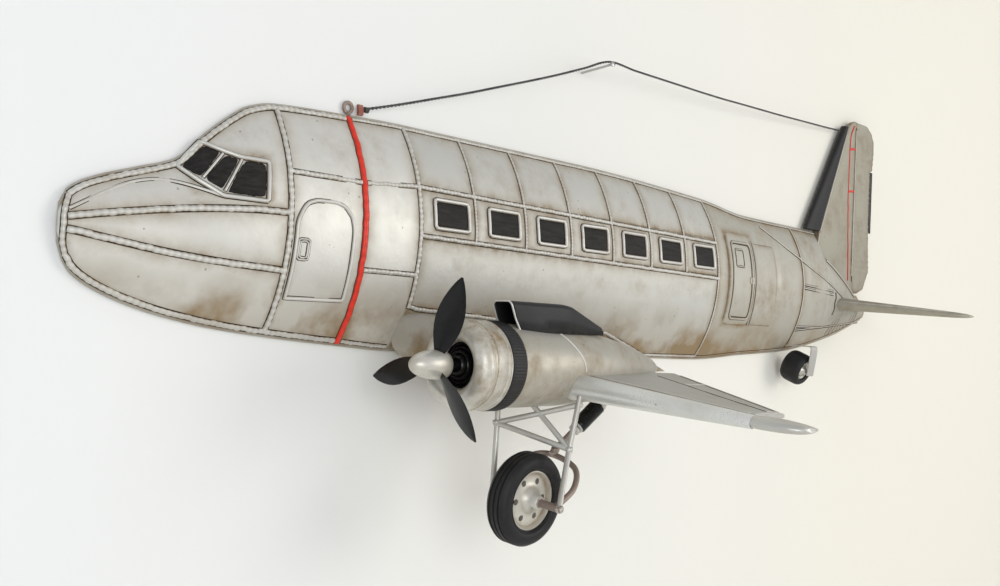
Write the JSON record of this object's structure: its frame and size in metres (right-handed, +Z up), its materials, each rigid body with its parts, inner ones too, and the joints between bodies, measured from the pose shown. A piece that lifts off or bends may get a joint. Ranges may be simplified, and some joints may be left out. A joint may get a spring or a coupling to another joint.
{
  "type": "wall-hung airliner relief",
  "caption": "Half-relief sheet-metal airliner that hangs flat on a wall by a twisted wire, with a turning propeller, main wheel and tail wheel",
  "frame": {"origin": "on the wall plane, at the middle of the back face of the middle wall strap, straight below the nail", "axes": "+X from nose to tail, +Y into the wall, +Z up"},
  "size_m": [1.357, 0.3715, 0.5453],
  "materials": {
    "silver_paint": "aged satin silver paint with brown grime at the seams",
    "rim_metal": "thin silver paint over folded tin",
    "solder_bead": "lumpy solder beads under silver paint",
    "window_trim": "raised silver frame round a black painted pane",
    "red_enamel": "glossy bright red brushed enamel",
    "bright_metal": "glossy silver lacquer with tan patina",
    "gloss_black": "gloss black enamel",
    "satin_grey": "satin charcoal paint",
    "aged_brown": "brown-tinted silver patina",
    "red_primer": "matt red-brown primer",
    "tyre_rubber": "matt black rubber",
    "nail_steel": "plain steel nail",
    "black_wire": "black two-strand twisted wire"
  },
  "bodies": {
    "airframe": {"nose_crown_skin": "silver_paint", "nose_cheek_skin": "silver_paint", "nose_chin_skin": "silver_paint", "door_bay_skin": "silver_paint", "forward_skin": "silver_paint", "roof_skin": "silver_paint", "window_skin": "silver_paint", "lower_side_skin": "silver_paint", "aft_skin": "silver_paint", "tail_cone_skin": "silver_paint", "rear_door": "silver_paint", "nacelle": "silver_paint", "wing_stub": "silver_paint", "outer_wing": "silver_paint", "wing_nose_tube": "silver_paint", "wing_tip": "silver_paint", "fin": "silver_paint", "rudder": "silver_paint", "tailplane": "silver_paint", "gear_frame": "silver_paint", "tail_bracket": "silver_paint", "rim_top": "rim_metal", "rim_bottom": "rim_metal", "wall_strap_front": "rim_metal", "wall_strap_middle": "rim_metal", "wall_strap_rear": "rim_metal", "nose_beads": "solder_bead", "cabin_beads": "solder_bead", "front_door_trim": "solder_bead", "window_frame_1": "window_trim", "window_frame_2": "window_trim", "window_frame_3": "window_trim", "window_frame_4": "window_trim", "window_frame_5": "window_trim", "window_frame_6": "window_trim", "window_frame_7": "window_trim", "windscreen_frame": "window_trim", "red_band": "red_enamel", "cowl": "bright_metal", "engine_core": "gloss_black", "rudder_tab": "gloss_black", "cowl_flaps": "satin_grey", "air_scoop": "satin_grey", "fin_boot": "satin_grey", "shock_boot": "satin_grey", "axle": "aged_brown", "fork_tube": "aged_brown", "hanging_eye": "aged_brown", "wire_tab": "red_primer", "wall_nail": "nail_steel", "hanging_wire": "black_wire"},
    "propeller": {"spinner": "bright_metal", "blade_1": "gloss_black", "blade_2": "gloss_black", "blade_3": "gloss_black"},
    "main_wheel": {"wheel_disc": "bright_metal", "tyre": "tyre_rubber"},
    "tail_wheel": {"tail_hub": "bright_metal", "tail_tyre": "tyre_rubber"}
  },
  "joints": [
    {"name": "propeller_spin", "type": "hinge", "parent": "airframe", "child": "propeller", "pos_m": [-0.333, -0.122, -0.115], "axis": [1, 0, 0], "continuous": true},
    {"name": "main_wheel_spin", "type": "hinge", "parent": "airframe", "child": "main_wheel", "pos_m": [-0.22, -0.131, -0.234], "axis": [0, -0.9945, -0.1045], "continuous": true},
    {"name": "tail_wheel_spin", "type": "hinge", "parent": "airframe", "child": "tail_wheel", "pos_m": [0.48, -0.028, -0.1148], "axis": [0, -0.9272, -0.3746], "continuous": true}
  ]
}
